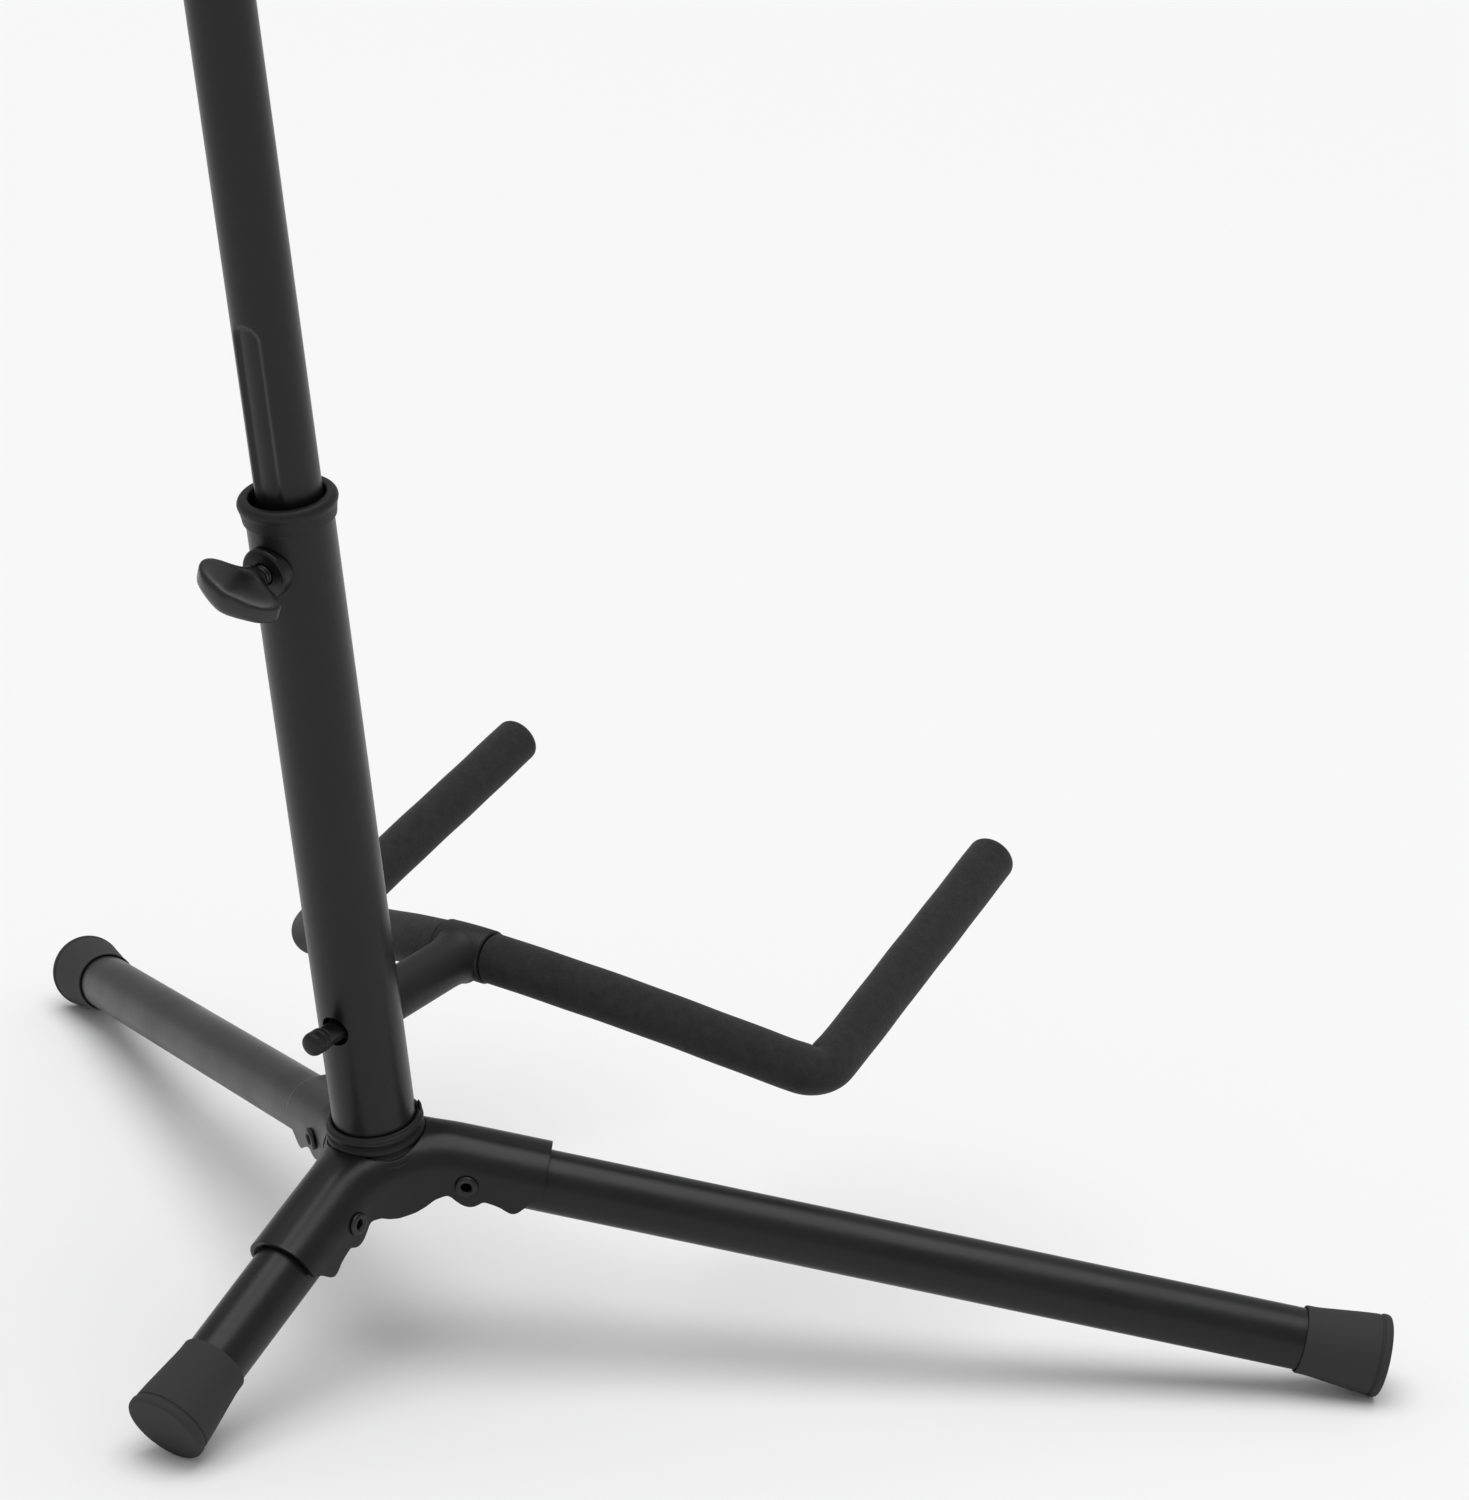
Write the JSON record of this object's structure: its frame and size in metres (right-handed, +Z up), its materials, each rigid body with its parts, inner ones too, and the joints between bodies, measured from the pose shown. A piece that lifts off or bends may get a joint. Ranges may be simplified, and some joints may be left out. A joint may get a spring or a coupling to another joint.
{
  "type": "saxophone stand",
  "caption": "Folding tripod instrument stand with a leaning telescopic mast, a padded two-armed cradle low at the front and a small padded rest on top.",
  "frame": {"origin": "middle of the bounding box's base, on the surface that the stand's feet rest on", "axes": "+Z up; +X across the cradle's two arms; the cradle and the two long legs reach towards -Y, the short leg towards +Y, and the mast leans back towards +Y"},
  "size_m": [0.529, 0.3072, 0.5228],
  "materials": {
    "black_tube": "satin black powder coat",
    "cast_black": "satin black paint on a pressed steel hub",
    "black_plastic": "fine satin moulded nylon",
    "gloss_plastic": "semi-gloss moulded plastic",
    "foot_rubber": "matt black rubber",
    "foam": "fine-celled closed foam, matt dark grey",
    "fastener_steel": "blackened steel"
  },
  "bodies": {
    "frame": {"hub_body": "cast_black", "hub_collar": "black_plastic", "hub_bolt": "fastener_steel", "hub_washer": "fastener_steel", "mast_foot_plug": "black_plastic", "lower_tube": "black_tube", "lower_tube_end_ring": "black_plastic", "clamp_boss": "black_tube", "rear_leg_rivet": "fastener_steel", "left_leg_rivet": "fastener_steel", "right_leg_rivet": "fastener_steel"},
    "rear_leg": {"rear_leg_knuckle": "black_plastic", "rear_leg_tube": "black_tube", "rear_foot_cap": "foot_rubber"},
    "left_leg": {"left_leg_knuckle": "black_plastic", "left_leg_tube": "black_tube", "left_foot_cap": "foot_rubber"},
    "right_leg": {"right_leg_knuckle": "black_plastic", "right_leg_tube": "black_tube", "right_foot_cap": "foot_rubber"},
    "upper_mast": {"upper_tube": "black_tube", "upper_tube_foot_plug": "black_plastic", "rest_head": "black_plastic", "rest_rod": "black_tube", "rest_sleeve_left": "foam", "rest_sleeve_right": "foam"},
    "cradle_pin": {"cradle_pin": "fastener_steel", "cradle_pin_cap": "black_plastic", "cradle_spring": "fastener_steel"},
    "cradle": {"cradle_tee": "black_plastic", "cradle_rod": "black_tube", "cradle_sleeve_left": "foam", "cradle_sleeve_right": "foam"},
    "clamp_screw": {"clamp_screw": "fastener_steel"},
    "clamp_knob": {"clamp_knob": "gloss_plastic"}
  },
  "joints": [
    {"name": "rear_leg_fold", "type": "hinge", "parent": "frame", "child": "rear_leg", "pos_m": [0, 0.07236, 0.05256], "axis": [-1, 0, 0], "range_deg": [0, 75]},
    {"name": "left_leg_fold", "type": "hinge", "parent": "frame", "child": "left_leg", "pos_m": [-0.02347, 0.0327, 0.0615], "axis": [0.5, -0.8448, 0.1904], "range_deg": [0, 75]},
    {"name": "right_leg_fold", "type": "hinge", "parent": "frame", "child": "right_leg", "pos_m": [0.02347, 0.0327, 0.0615], "axis": [0.5, 0.8448, -0.1904], "range_deg": [0, 75]},
    {"name": "mast_slide", "type": "slide", "parent": "frame", "child": "upper_mast", "axis": [0, 0.2198, 0.9755], "range_m": [-0.067, 0.041]},
    {"name": "cradle_pull", "type": "slide", "parent": "frame", "child": "cradle_pin", "axis": [0, -0.9948, 0.1021], "range_m": [0, 0.005]},
    {"name": "cradle_turn", "type": "hinge", "parent": "cradle_pin", "child": "cradle", "pos_m": [0, 0.0578, 0.11124], "axis": [0, -0.9948, 0.1021], "range_deg": [0, 90]},
    {"name": "clamp_travel", "type": "slide", "parent": "frame", "child": "clamp_screw", "axis": [0, 0.9755, -0.2198], "range_m": [0, 0.00125]},
    {"name": "clamp_turn", "type": "hinge", "parent": "clamp_screw", "child": "clamp_knob", "pos_m": [0, 0.09137, 0.26021], "axis": [0, 0.9755, -0.2198], "range_deg": [0, 360]}
  ],
  "couplings": [
    {"joint": "cradle_turn", "follows": "cradle_pull", "rad_per_m": 314},
    {"joint": "clamp_turn", "follows": "clamp_travel", "rad_per_m": 5026}
  ]
}
